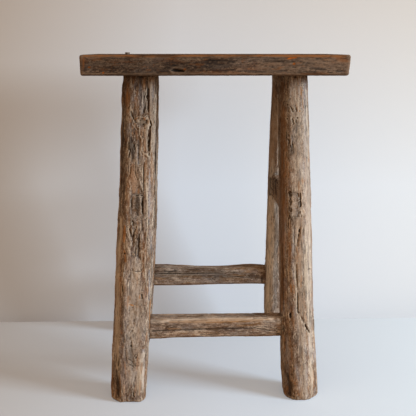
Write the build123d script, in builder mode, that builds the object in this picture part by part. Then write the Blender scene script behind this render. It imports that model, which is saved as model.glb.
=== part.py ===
from build123d import *
import os

# A rustic stool: a slab seat on four hewn, splayed legs, tied by four stretchers, with wedged through tenons.
# Millimetres. The origin is on the floor under the seat's middle, +X right, +Z up, front towards -Y.

os.makedirs("parts", exist_ok=True)

left, right = -1, 1
front, rear = -1, 1
up = Vector(0, 0, 1)
rightward = Vector(1, 0, 0)
rearward = Vector(0, 1, 0)

# Whole stool
height = 501
seat_length = 386
seat_depth = 200
seat_thickness = 29.5
seat_end_round = 3
seat_arris_round = 2.5
left_end_wear = 0.8
right_end_wear = 2.6
shoulder_height = height - seat_thickness

# Where the legs stand: a leg's centre line is set in from the seat's end and edge at the shoulder,
# and the foot stands further out by the rake, along X, and by the splay, along Y
left_leg_inset = 81.5
right_leg_inset = 75
edge_inset = 58
left_leg_rake = 20
right_leg_rake = 9
leg_splay = 96

# Hewn legs: the left pair is squarer, the right pair rounder
left_leg_width = 54.4
left_leg_depth = 51
right_leg_width = 52
right_leg_depth = 51
foot_bevel = 3

# Flats hewn off a leg's corners: away from the middle along X and Y, along Y only, along X only, and neither
corner_ways = ((1, 1), (-1, 1), (1, -1), (-1, -1))
left_corner_shares = (0.26, 0.14, 0.20, 0.14)
right_corner_shares = (0.32, 0.26, 0.24, 0.18)
left_arris_share = 0.05
right_arris_share = 0.07

# Rows of each leg from foot to shoulder: height, girth, and bow of the centre line towards the middle
leg_row_shares = {
    (left, front): (
        (0, 0.93, 0),
        (0.05, 0.96, -0.008),
        (0.215, 0.99, 0.018),
        (0.4, 1.003, 0.033),
        (0.59, 0.97, 0.028),
        (0.85, 0.94, 0.010),
        (0.96, 0.92, 0.004),
        (1, 0.87, -0.006),
    ),
    (right, front): (
        (0, 0.985, 0),
        (0.05, 1, 0.012),
        (0.215, 0.965, 0.042),
        (0.4, 0.928, 0.032),
        (0.59, 0.905, 0.022),
        (0.85, 0.865, 0.007),
        (1, 0.83, 0),
    ),
    (left, rear): (
        (0, 0.93, -0.075),
        (0.05, 0.96, -0.078),
        (0.215, 0.99, -0.044),
        (0.4, 1, -0.012),
        (0.59, 0.97, 0.003),
        (0.85, 0.95, 0.005),
        (1, 0.9, 0),
    ),
    (right, rear): (
        (0, 0.985, -0.03),
        (0.05, 1, -0.02),
        (0.215, 0.965, 0.012),
        (0.4, 0.93, 0.004),
        (0.59, 0.905, 0),
        (0.85, 0.865, -0.01),
        (1, 0.83, -0.01),
    ),
}

# Scars in the legs' outer faces: width and depth, and how far a scar narrows, shortens and stays parallel
check_width = 3
check_depth = 5
slot_width = 5.5
slot_depth = 6
knot_width = 5.4
knot_depth = 8
scar_tip_share = 0.2
scar_run_share = 0.8
scar_parallel_share = 0.5
check = (check_width, check_depth)
slot = (slot_width, slot_depth)
knot = (knot_width, knot_depth)

# Each leg's drying checks, torn slot and knot hole: the axis that the face looks along, the kind,
# and the lower and upper ends, each across the face from the leg's middle outward and up the leg
leg_scar_shares = {
    (left, front): (
        (rearward, check, (-0.29, 0.86), (-0.247, 0.99)),
        (rearward, slot, (-0.32, 0.745), (-0.335, 0.87)),
        (rearward, check, (0.06, 0.45), (0, 0.55)),
        (rightward, check, (0.12, 0.42), (0.06, 0.8)),
    ),
    (right, front): (
        (rearward, check, (-0.05, 0.31), (-0.07, 0.46)),
        (rearward, check, (-0.07, 0.45), (0.1, 0.56)),
        (rearward, check, (0.2, 0.228), (0, 0.268)),
        (rearward, knot, (-0.247, 0.249), (-0.243, 0.276)),
        (rightward, check, (-0.08, 0.3), (-0.02, 0.62)),
    ),
    (left, rear): (
        (rearward, check, (0.2, 0.3), (0.16, 0.53)),
        (rightward, check, (0.05, 0.36), (0, 0.86)),
    ),
    (right, rear): (
        (rearward, check, (-0.2, 0.26), (-0.16, 0.55)),
        (rightward, check, (-0.1, 0.4), (-0.04, 0.9)),
    ),
}

# Seat tenons, each tightened by a wedge at its outer end
seat_tenon_length = 33
seat_tenon_width = 20
wedge_head = 5.5
wedge_tip = 1.4
front_left_wedge_proud = 3

# Front and rear stretchers
front_stretcher_level = 102.5
front_stretcher_height = 31
rear_stretcher_level = 108
rear_stretcher_height = 31
long_stretcher_thickness = 28
long_tenon_height = 20
long_tenon_width = 14

# Side stretchers: the right one's tenons have shrunk in their mortises
side_stretcher_level = 283.5
side_stretcher_height = 39
side_stretcher_thickness = 31
side_tenon_height = 34
left_tenon_width = 17
right_tenon_width = 10.5
right_mortise_width = 15.5
left_side_inset = 4.7
right_side_inset = 6

# Hewn rails: rows from one shoulder to the other of place, height and lift of the middle
front_stretcher_shares = (
    (0, 1.04, -0.029),
    (0.35, 0.987, 0),
    (0.7, 0.977, 0.002),
    (1, 0.94, 0.021),
)
rear_stretcher_shares = (
    (0, 1.09, 0.042),
    (0.2, 1.09, 0.03),
    (0.35, 1.02, -0.003),
    (0.6, 0.974, 0.003),
    (1, 0.968, -0.026),
)
side_stretcher_shares = (
    (0, 1, 0),
    (0.5, 0.95, 0.015),
    (1, 1, 0),
)
rail_bevel_share = 0.14

# Fits
joint_clearance = 0.2
shoulder_clearance = 0.5
overrun = 5


def row_at(rows, share):
    """One row of a table of shares, read between its neighbours."""
    low, high = next((a, b) for a, b in zip(rows, rows[1:]) if share <= b[0])
    part = (share - low[0]) / (high[0] - low[0])
    return [a + (b - a) * part for a, b in zip(low, high)]


def leg_sizes(side, end):
    """Width, depth and rows of a leg."""
    width, depth = (left_leg_width, left_leg_depth) if side == left else (right_leg_width, right_leg_depth)
    return width, depth, leg_row_shares[side, end]


def line_out(side, z):
    """Distance along X from the middle to a leg's straight centre line at a height."""
    inset, rake = (left_leg_inset, left_leg_rake) if side == left else (right_leg_inset, right_leg_rake)
    return seat_length / 2 - inset + rake * (1 - z / shoulder_height)


def line_back(z):
    """The same along Y."""
    return seat_depth / 2 - edge_inset + leg_splay * (1 - z / shoulder_height)


def side_rail_out(side):
    """Distance along X from the middle to the side stretcher's own middle."""
    return line_out(side, side_stretcher_level) - (left_side_inset if side == left else right_side_inset)


def leg_faces_out(side, end, z):
    """Distances from the middle to a leg's inner and outer faces, measured along X at a height."""
    width, _, rows = leg_sizes(side, end)
    _, girth, bow = row_at(rows, z / shoulder_height)
    middle = line_out(side, z) - bow * width
    return middle - girth * width / 2, middle + girth * width / 2


def leg_faces_back(side, end, z):
    """The same along Y."""
    _, depth, rows = leg_sizes(side, end)
    girth = row_at(rows, z / shoulder_height)[1]
    return line_back(z) - girth * depth / 2, line_back(z) + girth * depth / 2


def wedge_thickness(z):
    """Thickness of a wedge at a height, from its tip at the shoulder to its head at the seat's top."""
    return wedge_tip + (wedge_head - wedge_tip) * (z - shoulder_height) / seat_thickness


def seat_joint_plane(side, end, z, outward=0):
    """Horizontal plane on a leg's centre line at a height, moved outward along X."""
    return Plane((side * (line_out(side, z) + outward), end * line_back(z), z))


def run_plane(run, along, across, level):
    """Plane square to a rail's run, with its own Y axis upright."""
    sideways = up.cross(run)
    return Plane(run * along + sideways * across + up * level, x_dir=sideways, z_dir=run)


def face_plane(run, low_place, low, high_place, high):
    """Plane that lies on a leg's face: it passes through the face's places along the run at two heights."""
    rise = run * (high_place - low_place) + up * (high - low)
    return Plane(run * low_place + up * low, z_dir=up.cross(run).cross(rise))


# Seat: a slab with worn ends and rounded arrises, and a flared mortise for each leg's tenon and wedge
with BuildPart() as seat:
    with BuildSketch(Plane.XZ) as front_view:
        with BuildLine():
            Polyline(
                (-seat_length / 2, height),
                (seat_length / 2, height),
                (seat_length / 2 - right_end_wear, shoulder_height),
                (-seat_length / 2 + left_end_wear, shoulder_height),
                close=True,
            )
        make_face()
        fillet(front_view.vertices(), radius=seat_end_round)
    extrude(amount=seat_depth / 2, both=True)
    fillet(seat.faces().filter_by(Axis.Y).edges(), radius=seat_arris_round)
    for side in (left, right):
        for end in (front, rear):
            for z in (shoulder_height - overrun, height + overrun):
                wedge_room = wedge_thickness(z)
                with BuildSketch(seat_joint_plane(side, end, z, wedge_room / 2)):
                    Rectangle(
                        seat_tenon_length + wedge_room + 2 * joint_clearance,
                        seat_tenon_width + 2 * joint_clearance,
                    )
            loft(ruled=True, mode=Mode.SUBTRACT)
seat.part.label = "seat"
export_step(seat.part, "parts/seat.step")


def scar_end(side, end, axis, across, place):
    """Where a scar ends on a leg's outer face."""
    width, depth, rows = leg_sizes(side, end)
    _, girth, bow = row_at(rows, place)
    z = place * shoulder_height
    middle = Vector(side * (line_out(side, z) - bow * width), end * line_back(z), z)
    if axis == rearward:
        return middle + Vector(side * across * width, end * girth * depth / 2, 0)
    return middle + Vector(side * girth * width / 2, end * across * depth, 0)


def make_scar(side, end, axis, kind, low, high):
    """A narrow wedge with pointed ends, to cut a check, a slot or a knot hole into a leg's outer face."""
    width, depth = kind
    start = scar_end(side, end, axis, *low)
    rise = scar_end(side, end, axis, *high) - start
    outward = axis * (end if axis == rearward else side)
    face = Plane(start + rise / 2, x_dir=rise, z_dir=rise.cross(outward).cross(rise))
    with BuildPart() as scar:
        for level, opening_share, run_share in (
            (depth, 2 - scar_tip_share, 1),
            (-depth, scar_tip_share, scar_run_share),
        ):
            reach = rise.length * run_share / 2
            parallel = reach * scar_parallel_share
            opening = width * opening_share / 2
            with BuildSketch(face.offset(level)):
                with BuildLine():
                    Polyline(
                        (-reach, 0),
                        (-parallel, opening),
                        (parallel, opening),
                        (reach, 0),
                        (parallel, -opening),
                        (-parallel, -opening),
                        close=True,
                    )
                make_face()
        loft(ruled=True)
    return scar.part


def make_leg(name, side, end):
    """A scarred leg from its flat foot to its seat tenon, with a mortise for each of its two stretchers."""
    width, depth, rows = leg_sizes(side, end)
    corner_shares = left_corner_shares if side == left else right_corner_shares
    arris_share = left_arris_share if side == left else right_arris_share
    with BuildPart() as leg:
        for place, girth, bow in rows:
            z = place * shoulder_height
            with BuildSketch(seat_joint_plane(side, end, z, -bow * width)) as outline:
                Rectangle(girth * width, girth * depth)
                for (x_way, y_way), share in zip(corner_ways, corner_shares):
                    beyond = (side * x_way * width, end * y_way * depth)
                    chamfer(outline.vertices().sort_by_distance(beyond)[0], length=share * girth * depth)
                chamfer(outline.vertices(), length=arris_share * girth * depth)
        loft()
        chamfer(leg.faces().sort_by(Axis.Z)[0].edges(), length=foot_bevel)
        for z in (shoulder_height, height):
            with BuildSketch(seat_joint_plane(side, end, z)):
                Rectangle(seat_tenon_length, seat_tenon_width)
        loft(ruled=True)
        level = front_stretcher_level if end == front else rear_stretcher_level
        with BuildSketch(run_plane(rightward, side * line_out(side, level), end * line_back(level), level)):
            Rectangle(long_tenon_width + 2 * joint_clearance, long_tenon_height + 2 * joint_clearance)
        extrude(amount=width, both=True, mode=Mode.SUBTRACT)
        level = side_stretcher_level
        mortise_width = left_tenon_width + 2 * joint_clearance if side == left else right_mortise_width
        with BuildSketch(run_plane(rearward, end * line_back(level), -side * side_rail_out(side), level)):
            Rectangle(mortise_width, side_tenon_height + 2 * joint_clearance)
        extrude(amount=depth, both=True, mode=Mode.SUBTRACT)
        for scar in leg_scar_shares[side, end]:
            add(make_scar(side, end, *scar), mode=Mode.SUBTRACT)
    leg.part.label = name
    export_step(leg.part, f"parts/{name}.step")


for end, end_name in ((front, "front"), (rear, "rear")):
    for side, side_name in ((left, "left"), (right, "right")):
        make_leg(f"leg_{end_name}_{side_name}", side, end)


def make_rail(name, run, across, level, rail, rows, tenon, faces):
    """A hewn rail with flat sloping shoulders and a through tenon at each end, cut flush with the legs."""
    thickness, rail_height = rail
    tenon_width, tenon_height = tenon
    half_height = rail_height / 2
    low, high = level - half_height, level + half_height
    tenon_low, tenon_high = level - tenon_height / 2, level + tenon_height / 2
    shoulders = []
    tenon_ends = []
    for way in (-1, 1):
        inner_low, inner_high = faces(way, low)[0], faces(way, high)[0]
        outer_low, outer_high = faces(way, tenon_low)[1], faces(way, tenon_high)[1]
        shoulders.append(
            face_plane(run, way * (inner_low - shoulder_clearance), low,
                       way * (inner_high - shoulder_clearance), high)
        )
        tenon_ends.append(face_plane(run, way * outer_low, tenon_low, way * outer_high, tenon_high))
    start = -max(faces(-1, low)[0], faces(-1, high)[0]) - overrun
    finish = max(faces(1, low)[0], faces(1, high)[0]) + overrun
    reach = max(faces(-1, tenon_low)[1], faces(1, tenon_low)[1]) + overrun
    with BuildPart() as bar:
        for place, girth, lift in rows:
            along = start + (finish - start) * place
            with BuildSketch(run_plane(run, along, across, level + lift * rail_height)) as section:
                Rectangle(thickness, girth * rail_height)
                chamfer(section.vertices(), length=rail_bevel_share * thickness)
        loft()
        split(bisect_by=shoulders[0], keep=Keep.TOP)
        split(bisect_by=shoulders[1], keep=Keep.BOTTOM)
        with BuildSketch(run_plane(run, 0, across, level)):
            Rectangle(tenon_width, tenon_height)
        extrude(amount=reach, both=True)
        split(bisect_by=tenon_ends[0], keep=Keep.TOP)
        split(bisect_by=tenon_ends[1], keep=Keep.BOTTOM)
    bar.part.label = name
    export_step(bar.part, f"parts/{name}.step")


make_rail(
    "stretcher_front",
    rightward,
    front * line_back(front_stretcher_level),
    front_stretcher_level,
    (long_stretcher_thickness, front_stretcher_height),
    front_stretcher_shares,
    (long_tenon_width, long_tenon_height),
    lambda way, z: leg_faces_out(way, front, z),
)
make_rail(
    "stretcher_rear",
    rightward,
    rear * line_back(rear_stretcher_level),
    rear_stretcher_level,
    (long_stretcher_thickness, rear_stretcher_height),
    rear_stretcher_shares,
    (long_tenon_width, long_tenon_height),
    lambda way, z: leg_faces_out(way, rear, z),
)
make_rail(
    "stretcher_left",
    rearward,
    side_rail_out(left),
    side_stretcher_level,
    (side_stretcher_thickness, side_stretcher_height),
    side_stretcher_shares,
    (left_tenon_width, side_tenon_height),
    lambda way, z: leg_faces_back(left, way, z),
)
make_rail(
    "stretcher_right",
    rearward,
    -side_rail_out(right),
    side_stretcher_level,
    (side_stretcher_thickness, side_stretcher_height),
    side_stretcher_shares,
    (right_tenon_width, side_tenon_height),
    lambda way, z: leg_faces_back(right, way, z),
)


def make_wedge(name, side, end, proud):
    """A wedge between a seat tenon's outer end and the mortise's sloping wall, with its head above the seat."""
    with BuildPart() as wedge:
        for z in (shoulder_height + joint_clearance, height + proud):
            thickness = wedge_thickness(z)
            outward = (seat_tenon_length + joint_clearance + thickness) / 2
            with BuildSketch(seat_joint_plane(side, end, z, outward)):
                Rectangle(thickness - joint_clearance, seat_tenon_width)
        loft(ruled=True)
    wedge.part.label = name
    export_step(wedge.part, f"parts/{name}.step")


for end, end_name in ((front, "front"), (rear, "rear")):
    for side, side_name in ((left, "left"), (right, "right")):
        proud = front_left_wedge_proud if (end, side) == (front, left) else 0
        make_wedge(f"wedge_{end_name}_{side_name}", side, end, proud)
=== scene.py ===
import math
from itertools import product

import bmesh
import bpy
import numpy as np
from mathutils import Euler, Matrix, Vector
from mathutils.bvhtree import BVHTree


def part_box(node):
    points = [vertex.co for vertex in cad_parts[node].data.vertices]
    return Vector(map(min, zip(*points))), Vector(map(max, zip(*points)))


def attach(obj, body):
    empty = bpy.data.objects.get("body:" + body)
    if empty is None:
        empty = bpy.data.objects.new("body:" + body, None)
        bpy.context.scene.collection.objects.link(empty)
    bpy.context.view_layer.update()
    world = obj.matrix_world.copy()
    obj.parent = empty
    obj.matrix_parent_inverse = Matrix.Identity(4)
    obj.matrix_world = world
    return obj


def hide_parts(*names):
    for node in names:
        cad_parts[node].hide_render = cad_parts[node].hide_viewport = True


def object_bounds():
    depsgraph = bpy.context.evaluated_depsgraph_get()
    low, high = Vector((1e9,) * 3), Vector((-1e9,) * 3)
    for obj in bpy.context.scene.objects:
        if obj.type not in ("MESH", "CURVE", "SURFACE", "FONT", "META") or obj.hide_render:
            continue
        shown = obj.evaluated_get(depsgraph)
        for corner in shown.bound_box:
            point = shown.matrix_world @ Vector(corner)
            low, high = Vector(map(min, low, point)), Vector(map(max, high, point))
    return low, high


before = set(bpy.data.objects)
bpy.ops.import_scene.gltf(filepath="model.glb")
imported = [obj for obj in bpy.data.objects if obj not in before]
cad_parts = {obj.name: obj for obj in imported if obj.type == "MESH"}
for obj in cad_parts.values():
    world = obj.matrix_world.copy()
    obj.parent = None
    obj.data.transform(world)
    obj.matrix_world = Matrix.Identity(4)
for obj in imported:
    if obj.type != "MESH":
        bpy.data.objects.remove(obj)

# The looks of a rustic stool: old hewn wood, cracked, worn and stained.
# Metres, in the frame's own axes: +X right, +Z up, front towards -Y.

cad_low, cad_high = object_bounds()
mm = 0.001
front = Vector((0, -1, 0))

# Camera of the photograph, found from the stool's own edges
camera_place = Vector((-0.0428, -1.150, 0.508))
camera_pitch = 0.2143
camera_yaw = -0.030
camera_turn = Euler((math.pi / 2 - camera_pitch, 0, camera_yaw))
focal_pixels = 728
photo_pixels = 416
sensor_width = 36

# Places closer than this are one
weld_distance = 0.01 * mm

# Hewn and weathered surfaces: tool marks, ribs, fibres and checks, each with its depth in mm
# and the size of one across and along the grain
left_leg_relief = ((1.2, 15, 32), (0.8, 7, 24), (0.24, 2.4, 6), (1.2, 9, 60))
right_leg_relief = ((0.7, 20, 60), (0.4, 5, 40), (0.18, 2, 8), (0.7, 8, 50))
seat_relief = ((0.2, 30, 90), (0.16, 5, 60), (0.2, 2.2, 5), (0.5, 9, 120))
stretcher_relief = ((0.6, 18, 50), (0.2, 6, 80), (0.12, 2, 12), (0.6, 8, 100))
wedge_relief = ((0.1, 6, 20), (0.08, 2, 20), (0.08, 1, 12), (0.1, 4, 20))

# Patches where ribs are calm and where checks open: cells in mm, and steps from none to all
calm_cell = (30, 60)
calm_step = (-0.25, 0.25)
calm_share = 0.25
check_cell = (20, 90)
check_step = (0.1, 0.5)
check_share = 0.10
level_share = 0.4

# Where pieces meet: how far from there a surface is crisp, unhewn or dark, and how far and how strongly
# painted contact shade darkens it
reach_round = 8 * mm
crisp_reach = 4 * mm
crisp_foot = 5 * mm
free_reach = 4 * mm
end_reach = 4 * mm
seam_reach = 1.1 * mm
seam_depth = 0.25 * mm
seam_cell = 8 * mm
seam_step = (0.0, 0.4)
seam_dark = 0.6
contact_shade_reach = 7 * mm
contact_shade_dark = 0.3

# Gaps that a surface grows into: the widest, how squarely it faces them, and how much
widest_gap = 3.2 * mm
facing_step = (0.3, 0.8)
filled_cell = 6 * mm
filled_step = (-0.15, 0.15)
filled_least = 0.35
filled_more = 0.6

# Shades from a surface's own shape, held against a smoothed one: steps of height in mm and their effect.
# Hollows darken with dirt and painted shade, ridges grow pale with wear and painted highlight
broad_rounds = 16
fine_rounds = 4
broad_hollow = (0.1, 0.7)
broad_ridge = (0.1, 0.6)
fine_height = (0.04, 0.22)
broad_dark = 0.75
fine_dark = 0.6
joint_hollows = 0.3
check_dark = 0.8
worn_and_lit_least = 0.25
worn_and_lit_more = 0.35
# Darker towards the top, with stain and painted shade under the seat: heights in metres and the most it
# darkens
aged_and_shaded_step = (0.2, 0.47)
aged_and_shaded_share = 0.22

# Form of a mark: width at its ends, how uneven its edges are and how they fall, how far a dot spreads,
# and the least cell of the unevenness in mm
end_width = 0.55
edge_wobble = 0.5
edge_fall = 1.25
dot_spread = 1.4
wobble_cell = 2.4

# Seeded marks: how far a face may look to the front or along the grain, then steps in mm, turns and sizes
front_limit = 0.3
end_limit = 0.5
path_step = 12
path_turn = 0.09
patch_sizes = (0.6, 1.3)

# Seeds of two pieces lie this far apart, and each use within a piece adds its own number.
# A piece's grain is shifted by up to this many metres, so that no two are alike
seed_step = 1000
grain_shift = 3

# Noise: entries in its table, a power of two, and what brings it to about -1 to 1
noise_entries = 256
noise_level = 1.6

# How each kind of mark colours the wood: dark, pale, amber, grey. Marks of these kinds also paint shade
# and light where the lists below say so
mark_colours = {
    "crack": (1.0, 0, 0, 0),
    "hollow": (0.45, 0, 0, 0),
    "stain": (0.75, 0, 0, 0),
    "ridge": (0, 1.0, 0, 0),
    "pale": (0, 0.7, 0, 0),
    "amber": (0, 0, 0.5, 0),
    "fleck": (0, 0, 1.0, 0),
    "grey": (0, 0, 0, 0.8),
    "shade": (0.4, 0, 0, 0),
    "greyed": (0, 0, 0, 0.45),
    "faded": (0, 0.4, 0, 0),
    "warmed": (0, 0, 0.28, 0),
    "pit": (0.42, 0, 0, 0),
}

# Marks seen in the photograph: kind, width and depth in mm, then the places of its path in pixels
seat_marks = (
    # Along the top arris: amber is the wood's own colour; the faded and pale strokes are painted light on
    # the upward-facing edge
    ("amber", 8, 0, (84, 55.6), (140, 55.4), (200, 55.2), (236, 55.2)),
    ("amber", 8, 0, (222, 55.2), (270, 55.2), (310, 55.4), (346, 56)),
    ("faded", 8, 0, (84, 55.6), (140, 55.4), (200, 55.2), (236, 55.2)),
    ("pale", 7, 0, (190, 55), (222, 55), (270, 55.2), (310, 55.2)),
    ("stain", 4, 0, (125, 57), (133, 57.5)),
    ("crack", 7, 3.4, (172, 70.2), (178, 70.6), (184, 71.4)),
    ("ridge", 4.5, -0.6, (169.6, 70.4), (172.6, 73)),
    ("pale", 2.5, 0, (200, 73), (206, 73.4)),
    ("pale", 3, 0, (104.5, 73.6), (108, 74)),
    ("fleck", 5, 0.5, (88.4, 67.2), (90.2, 67.4)),
    ("fleck", 5, 0.5, (102.4, 72.8), (103.8, 72.8)),
    ("fleck", 5, 0.5, (184, 69), (185.6, 69)),
    ("fleck", 5, 0.4, (293.4, 63.8), (295, 63.8)),
    ("fleck", 3.4, 0, (288, 58.6), (292, 58), (296, 57.8)),
    ("stain", 7, 0.3, (206, 61), (222, 60), (235, 62)),
    ("stain", 6, 0.3, (206, 70), (220, 71), (236, 69.5)),
    ("stain", 7, 0.3, (170, 61), (181, 63.5), (190, 62)),
    ("stain", 4, 0, (310, 68), (325, 69)),
    ("warmed", 12, 0, (337, 59), (342, 59.6), (347, 61)),
    ("grey", 8, 0, (338, 71.5), (343, 72)),
    ("pale", 3.5, 0, (349.6, 56), (348.6, 71)),
    ("amber", 4, 0, (83.5, 58), (83.5, 70)),
    ("stain", 3.6, 0, (83, 74.8), (150, 75.2), (215, 75.2), (280, 75.2), (345, 75)),
    ("stain", 3, 0, (83, 75.2), (150, 75.4), (215, 75.4), (280, 75.4), (345, 75.2)),
    ("shade", 5, 0, (84, 58.2), (130, 58), (180, 57.6), (240, 57.6), (300, 57.8)),
    ("greyed", 44, 0, (236, 65), (290, 65), (345, 65)),
    ("faded", 36, 0, (262, 66), (300, 65), (345, 64)),
    ("shade", 40, 0, (82, 64), (130, 66), (200, 66), (224, 66)),
)
front_left_marks = (
    ("crack", 2, 1.5, (147.9, 82), (147.5, 96), (148.1, 112)),
    ("pale", 5, 0, (151.6, 80), (151, 92)),
    ("pale", 3, 0, (131, 78), (131.3, 84)),
    ("greyed", 10, 0, (141, 86), (143, 100), (142, 113)),
    ("amber", 7, 0, (127.5, 92), (126.5, 106)),
    ("crack", 2, 2.5, (130, 105), (128, 109.5)),
    ("hollow", 4, 1.8, (131, 111), (132, 115), (135, 121)),
    ("hollow", 15, 1.4, (138, 124), (146, 122)),
    ("ridge", 2.4, -0.9, (132, 126), (133.5, 120), (138, 117), (144, 117.6), (147.5, 115)),
    ("amber", 3, 0, (133.5, 120.5), (138, 117.5)),
    ("amber", 4, -0.4, (144, 117.5), (145, 120)),
    ("pale", 9, 0, (137, 121), (146, 123)),
    ("crack", 2.6, 1.8, (136, 122.4)),
    ("crack", 2.4, 1.8, (140.2, 120.4)),
    ("crack", 2.6, 1.8, (143, 124.4)),
    ("crack", 2.4, 1.8, (138.6, 126.6)),
    ("crack", 2.2, 1.8, (146.4, 120.2)),
    ("crack", 2.4, 1.6, (144.6, 128.6)),
    ("crack", 3, 4.5, (148.8, 116.5), (150, 121), (151.6, 125), (149.8, 129), (149.2, 133)),
    ("ridge", 2, -0.7, (133.5, 125), (137, 131)),
    ("hollow", 6, 0.8, (148.4, 130), (148, 140), (148.2, 150), (148.8, 157)),
    ("crack", 4.4, 3.5, (149.2, 132), (149, 140), (149, 148), (149.4, 155)),
    # Painted shadow: a dark line in the gap along the leg's right edge, next to the rear leg behind
    ("stain", 4.5, 0, (155, 120), (154.6, 150)),
    ("stain", 4.5, 0, (152, 236), (151.4, 262), (150.6, 308)),
    # Painted shadow under the seat, across the top of the leg
    ("stain", 5, 0, (126, 76.8), (140, 77), (153, 76.8)),
    ("ridge", 2, -0.8, (151, 131), (151, 142), (150.8, 154)),
    ("ridge", 5.5, -1, (144.4, 153.5), (149.4, 157.4)),
    ("ridge", 2.4, -1.1, (139.5, 127), (139.3, 134), (142, 139.5), (141.6, 149), (143.6, 154), (144, 162)),
    ("grey", 5, 0.6, (138.4, 140), (138.3, 152), (138, 164)),
    ("crack", 2, 3, (128.4, 142), (128.8, 150)),
    ("ridge", 1.5, -0.6, (127, 138), (127.2, 147)),
    ("crack", 2.4, 2.5, (130.5, 149), (128.4, 158)),
    ("crack", 2, 2.4, (133.4, 143), (135.4, 151)),
    ("fleck", 2, 0, (124.8, 131)),
    ("fleck", 1.6, 0, (134, 143)),
    ("ridge", 1.8, -0.6, (127.4, 165), (127, 173)),
    ("ridge", 2.6, -0.5, (128.5, 180), (130.5, 186), (129.5, 194)),
    ("ridge", 2, -0.5, (139, 177), (141.4, 186), (142, 190)),
    ("hollow", 2.4, 1.2, (130.8, 164), (130.3, 174)),
    ("hollow", 2.4, 1.2, (135.6, 162), (135.4, 172), (137.4, 180)),
    ("crack", 2, 1.8, (143.8, 163), (143.4, 178), (143.6, 191)),
    ("ridge", 2.4, -0.8, (146, 158), (146.2, 180), (146.3, 193), (147.8, 204),
     (147, 215), (147.6, 223), (146.8, 236), (145, 250)),
    ("grey", 7, 0, (149.8, 168), (149.6, 196), (149.6, 210), (149.2, 224)),
    ("crack", 2.8, 1.4, (131.2, 199), (131.4, 208)),
    ("crack", 5.4, 3, (143.4, 197.5), (143.2, 213.5)),
    ("crack", 1.8, 2, (141.2, 217.5)),
    ("crack", 1.6, 2, (136.8, 220.5)),
    ("crack", 2.2, 2, (122.8, 211.4)),
    ("ridge", 1.8, -0.7, (122.2, 213.5), (124, 218.5), (127, 222.5)),
    ("crack", 2.2, 3.2, (132, 217), (132.5, 221), (133.4, 226)),
    ("ridge", 1.5, -0.8, (131, 218), (131.3, 223), (133, 229.5)),
    ("ridge", 1.9, -1, (131, 223.5), (127, 227), (126, 231), (127.8, 236), (130.4, 241), (131, 249)),
    ("hollow", 5, 1.8, (129.5, 228.5), (131, 234), (132.4, 241)),
    ("crack", 2, 3, (136.7, 225), (135.3, 230), (133.2, 236), (132.6, 245), (131.4, 254)),
    ("stain", 6, 0.6, (139, 234), (138.6, 245), (138, 258)),
    ("amber", 9, -0.8, (124.5, 226), (124, 242)),
    ("crack", 1.8, 1.4, (120.5, 245.8), (128.3, 246.6)),
    ("ridge", 2, -0.6, (129.6, 248), (129.8, 256)),
    ("amber", 5, 0, (124, 250), (126, 262)),
    ("ridge", 1.5, -0.5, (152, 219), (152, 240), (151.7, 266)),
    ("crack", 3.4, 1.6, (124, 253.5)),
    ("crack", 2.8, 2, (122.4, 286), (122.6, 292)),
    ("crack", 1.5, 1.2, (131, 266.5), (133, 271), (140, 271.6), (143.5, 268)),
    ("crack", 2.6, 3, (141.6, 294), (141.9, 298.8)),
    ("amber", 4, 0, (139.6, 295), (139.8, 299)),
    ("ridge", 1.5, -0.5, (139.4, 292), (143.2, 291.8)),
    ("fleck", 1.8, 0, (129, 304.6), (134, 305.6)),
    ("pale", 1.8, 0, (134, 305.6), (140, 307.6)),
    ("ridge", 2, -0.7, (145, 252), (144.8, 265), (146, 280), (147.5, 292), (147, 302)),
    ("grey", 6, 0, (149.5, 270), (149, 300)),
    ("grey", 8, 0, (137, 310), (136, 330)),
    ("crack", 3.4, 1.4, (131, 346)),
    ("crack", 1.8, 1, (123, 341.6), (125.4, 342.4)),
    ("crack", 1.3, 0.8, (126, 357.6), (131, 360.6), (136, 366.8)),
    ("crack", 1.3, 0.8, (127, 363), (132, 366), (135, 368)),
    ("crack", 2, 1.2, (134.6, 355), (135.7, 358.4), (137, 355.4)),
    ("stain", 13, 0.4, (116.8, 371), (117.6, 384), (118, 396)),
    ("amber", 2.4, -0.4, (120, 374), (120.4, 397)),
    ("crack", 1.6, 1.2, (133.7, 392), (133.8, 398)),
    ("grey", 9, 0, (143.4, 350), (143, 388)),
    ("pale", 5, 0, (143.6, 352), (143.4, 384)),
    # Painted shade down the left flank, which faces away from the window
    ("shade", 14, 0, (126, 84), (125, 130), (123.6, 170), (122.6, 212)),
    ("stain", 7, 0, (124.6, 84), (123.4, 130), (121.6, 170), (119.8, 212)),
    ("shade", 3, 0, (119.8, 212), (117.6, 262), (116, 300)),
    ("stain", 13, 0, (131, 138), (132, 146), (133, 158)),
    ("grey", 5, 0.3, (139.6, 142), (139, 152), (138.6, 164)),
    ("warmed", 20, 0, (133, 166), (134, 180), (134, 192)),
    ("faded", 22, 0, (133, 168), (134, 182), (134, 190)),
    ("greyed", 14, 0, (139, 84), (141, 96), (141, 110)),
    ("warmed", 12, 0, (128, 84), (128, 100), (128, 112)),
    ("faded", 7, 0, (150.6, 82), (150.8, 100), (151, 114)),
    ("stain", 10, 0, (137, 214), (136, 224)),
    ("pale", 13, 0, (143, 354), (141, 366), (139, 380), (138, 394)),
    ("pale", 8, 0, (143.6, 362), (143, 378), (142.6, 392)),
    ("shade", 12, 0, (131, 348), (130, 360)),
    # Painted light that lifts the shaded lower left flank
    ("pale", 16, 0, (121, 220), (118, 260), (116.8, 330), (118, 374)),
    ("greyed", 46, 0, (134, 262), (132, 320), (130, 380)),
    ("faded", 40, 0, (136, 262), (134, 320), (132, 380)),
)
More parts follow.
